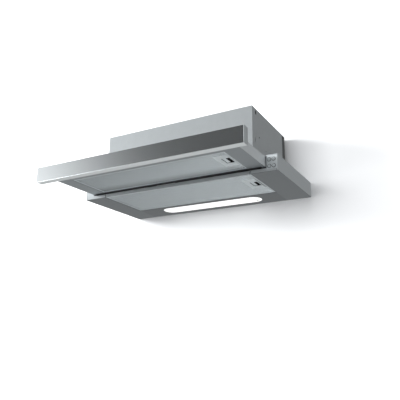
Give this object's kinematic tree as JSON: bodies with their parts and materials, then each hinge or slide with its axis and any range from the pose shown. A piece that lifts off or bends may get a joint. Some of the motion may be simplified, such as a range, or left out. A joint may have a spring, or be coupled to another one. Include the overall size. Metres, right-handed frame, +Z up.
{
  "type": "pull-out range hood",
  "caption": "Pull-out range hood for a wall cabinet: a blower casing on a flat frame, with a sliding filter drawer, steel front panel, push buttons and light.",
  "frame": {"origin": "on the wall, at mid width, level with the underside of the fixed frame", "axes": "+X to the right of a person facing the hood, +Y towards the wall, +Z up; the drawer slides out along -Y"},
  "size_m": [0.598, 0.457, 0.2185],
  "materials": {
    "silver_paint": "smooth silver-grey paint",
    "galvanised_steel": "plain matt sheet",
    "brushed_steel": "brushed along its length",
    "silver_plastic": "silver-grey satin",
    "button_plastic": "silver gloss",
    "opal_plastic": "opal diffuser",
    "white_plastic": "plain white",
    "grey_plastic": "plain grey",
    "black_plastic": "plain black",
    "circuit_board": "green board",
    "motor_steel": "bare steel",
    "zinc_steel": "zinc plated",
    "aluminium": "matt",
    "filter_mesh": "layers of expanded metal",
    "rubber": "matt"
  },
  "bodies": {
    "hood": {"upper_casing": "silver_paint", "rear_casing": "galvanised_steel", "frame_pan": "galvanised_steel", "front_crossbar": "galvanised_steel", "left_end_box": "silver_plastic", "right_end_box": "silver_plastic", "lamp_panel": "silver_paint", "lamp_lens": "opal_plastic", "lamp_housing": "white_plastic", "led_board": "white_plastic", "led_driver": "black_plastic", "keypad_plate": "silver_plastic", "keypad_board": "circuit_board", "volute_left": "black_plastic", "volute_right": "black_plastic", "motor": "motor_steel", "motor_spider": "galvanised_steel", "capacitor": "white_plastic", "terminal_box": "black_plastic", "cable_gland": "rubber", "duct_collar": "black_plastic", "rail_brackets": "galvanised_steel", "outer_rails": "zinc_steel", "microswitch": "black_plastic", "casing_screws": "zinc_steel", "blower_screws": "zinc_steel", "tab_rivets": "aluminium"},
    "impeller": {"wheel_disc": "grey_plastic", "left_blade_ring": "grey_plastic", "right_blade_ring": "grey_plastic", "motor_shaft": "zinc_steel"},
    "front_flap": {"duct_flap_front": "black_plastic"},
    "rear_flap": {"duct_flap_rear": "black_plastic"},
    "slide_middles": {"mid_rails": "zinc_steel"},
    "outer_cages": {"outer_ball_cages": "zinc_steel"},
    "inner_cages": {"inner_ball_cages": "zinc_steel"},
    "drawer": {"front_panel": "brushed_steel", "panel_end_caps": "silver_plastic", "drawer_pan": "galvanised_steel", "drawer_front_wall": "galvanised_steel", "drawer_sides": "galvanised_steel", "drawer_cover": "galvanised_steel", "inner_rails": "zinc_steel", "drawer_bumpers": "rubber", "panel_screws": "zinc_steel"},
    "front_filter": {"front_filter_rim": "aluminium", "front_filter_mesh": "filter_mesh", "front_latch_plate": "silver_plastic"},
    "front_latch": {"front_latch_bolt": "silver_plastic"},
    "rear_filter": {"rear_filter_rim": "aluminium", "rear_filter_mesh": "filter_mesh", "rear_latch_plate": "silver_plastic"},
    "rear_latch": {"rear_latch_bolt": "silver_plastic"},
    "light_switch": {"light_button": "button_plastic"},
    "low_speed_switch": {"low_button": "button_plastic"},
    "medium_speed_switch": {"medium_button": "button_plastic"},
    "high_speed_switch": {"high_button": "button_plastic"},
    "drawer_switch_lever": {"switch_lever": "zinc_steel"}
  },
  "joints": [
    {"name": "drawer_slide", "type": "slide", "parent": "hood", "child": "drawer", "axis": [0, -1, 0], "range_m": [-0.172, 0]},
    {"name": "slide_middles_slide", "type": "slide", "parent": "hood", "child": "slide_middles", "axis": [0, -1, 0], "range_m": [-0.086, 0]},
    {"name": "outer_cages_slide", "type": "slide", "parent": "hood", "child": "outer_cages", "axis": [0, -1, 0], "range_m": [-0.043, 0]},
    {"name": "inner_cages_slide", "type": "slide", "parent": "hood", "child": "inner_cages", "axis": [0, -1, 0], "range_m": [-0.129, 0]},
    {"name": "front_filter_hinge", "type": "hinge", "parent": "drawer", "child": "front_filter", "pos_m": [-0.222, -0.338, 0.015], "axis": [0, 1, 0], "range_deg": [0, 90]},
    {"name": "rear_filter_hinge", "type": "hinge", "parent": "hood", "child": "rear_filter", "pos_m": [-0.2245, -0.177, 0.0035], "axis": [0, 1, 0], "range_deg": [0, 90]},
    {"name": "front_latch_slide", "type": "slide", "parent": "front_filter", "child": "front_latch", "axis": [-1, 0, 0], "range_m": [0, 0.005], "stiffness_N_per_m": 800, "springref_m": -0.002},
    {"name": "rear_latch_slide", "type": "slide", "parent": "rear_filter", "child": "rear_latch", "axis": [-1, 0, 0], "range_m": [0, 0.005], "stiffness_N_per_m": 800, "springref_m": -0.002},
    {"name": "impeller_spin", "type": "hinge", "parent": "hood", "child": "impeller", "pos_m": [0, -0.106, 0.12], "axis": [1, 0, 0], "continuous": true},
    {"name": "front_flap_hinge", "type": "hinge", "parent": "hood", "child": "front_flap", "pos_m": [0, -0.086, 0.1995], "axis": [-1, 0, 0], "range_deg": [0, 75]},
    {"name": "rear_flap_hinge", "type": "hinge", "parent": "hood", "child": "rear_flap", "pos_m": [0, -0.078, 0.1995], "axis": [1, 0, 0], "range_deg": [0, 75]},
    {"name": "light_button_press", "type": "slide", "parent": "hood", "child": "light_switch", "axis": [0, 1, 0], "range_m": [0, 0.0015], "stiffness_N_per_m": 900, "springref_m": -0.001},
    {"name": "low_button_press", "type": "slide", "parent": "hood", "child": "low_speed_switch", "axis": [0, 1, 0], "range_m": [0, 0.0015], "stiffness_N_per_m": 900, "springref_m": -0.001},
    {"name": "medium_button_press", "type": "slide", "parent": "hood", "child": "medium_speed_switch", "axis": [0, 1, 0], "range_m": [0, 0.0015], "stiffness_N_per_m": 900, "springref_m": -0.001},
    {"name": "high_button_press", "type": "slide", "parent": "hood", "child": "high_speed_switch", "axis": [0, 1, 0], "range_m": [0, 0.0015], "stiffness_N_per_m": 900, "springref_m": -0.001},
    {"name": "switch_lever_hinge", "type": "hinge", "parent": "hood", "child": "drawer_switch_lever", "pos_m": [0.22825, -0.0842, 0.0398], "axis": [1, 0, 0], "range_deg": [0, 15], "stiffness_Nm_per_rad": 0.02, "springref_deg": -11.46}
  ],
  "couplings": [
    {"joint": "slide_middles_slide", "follows": "drawer_slide", "ratio": 0.5},
    {"joint": "outer_cages_slide", "follows": "drawer_slide", "ratio": 0.25},
    {"joint": "inner_cages_slide", "follows": "drawer_slide", "ratio": 0.75}
  ]
}
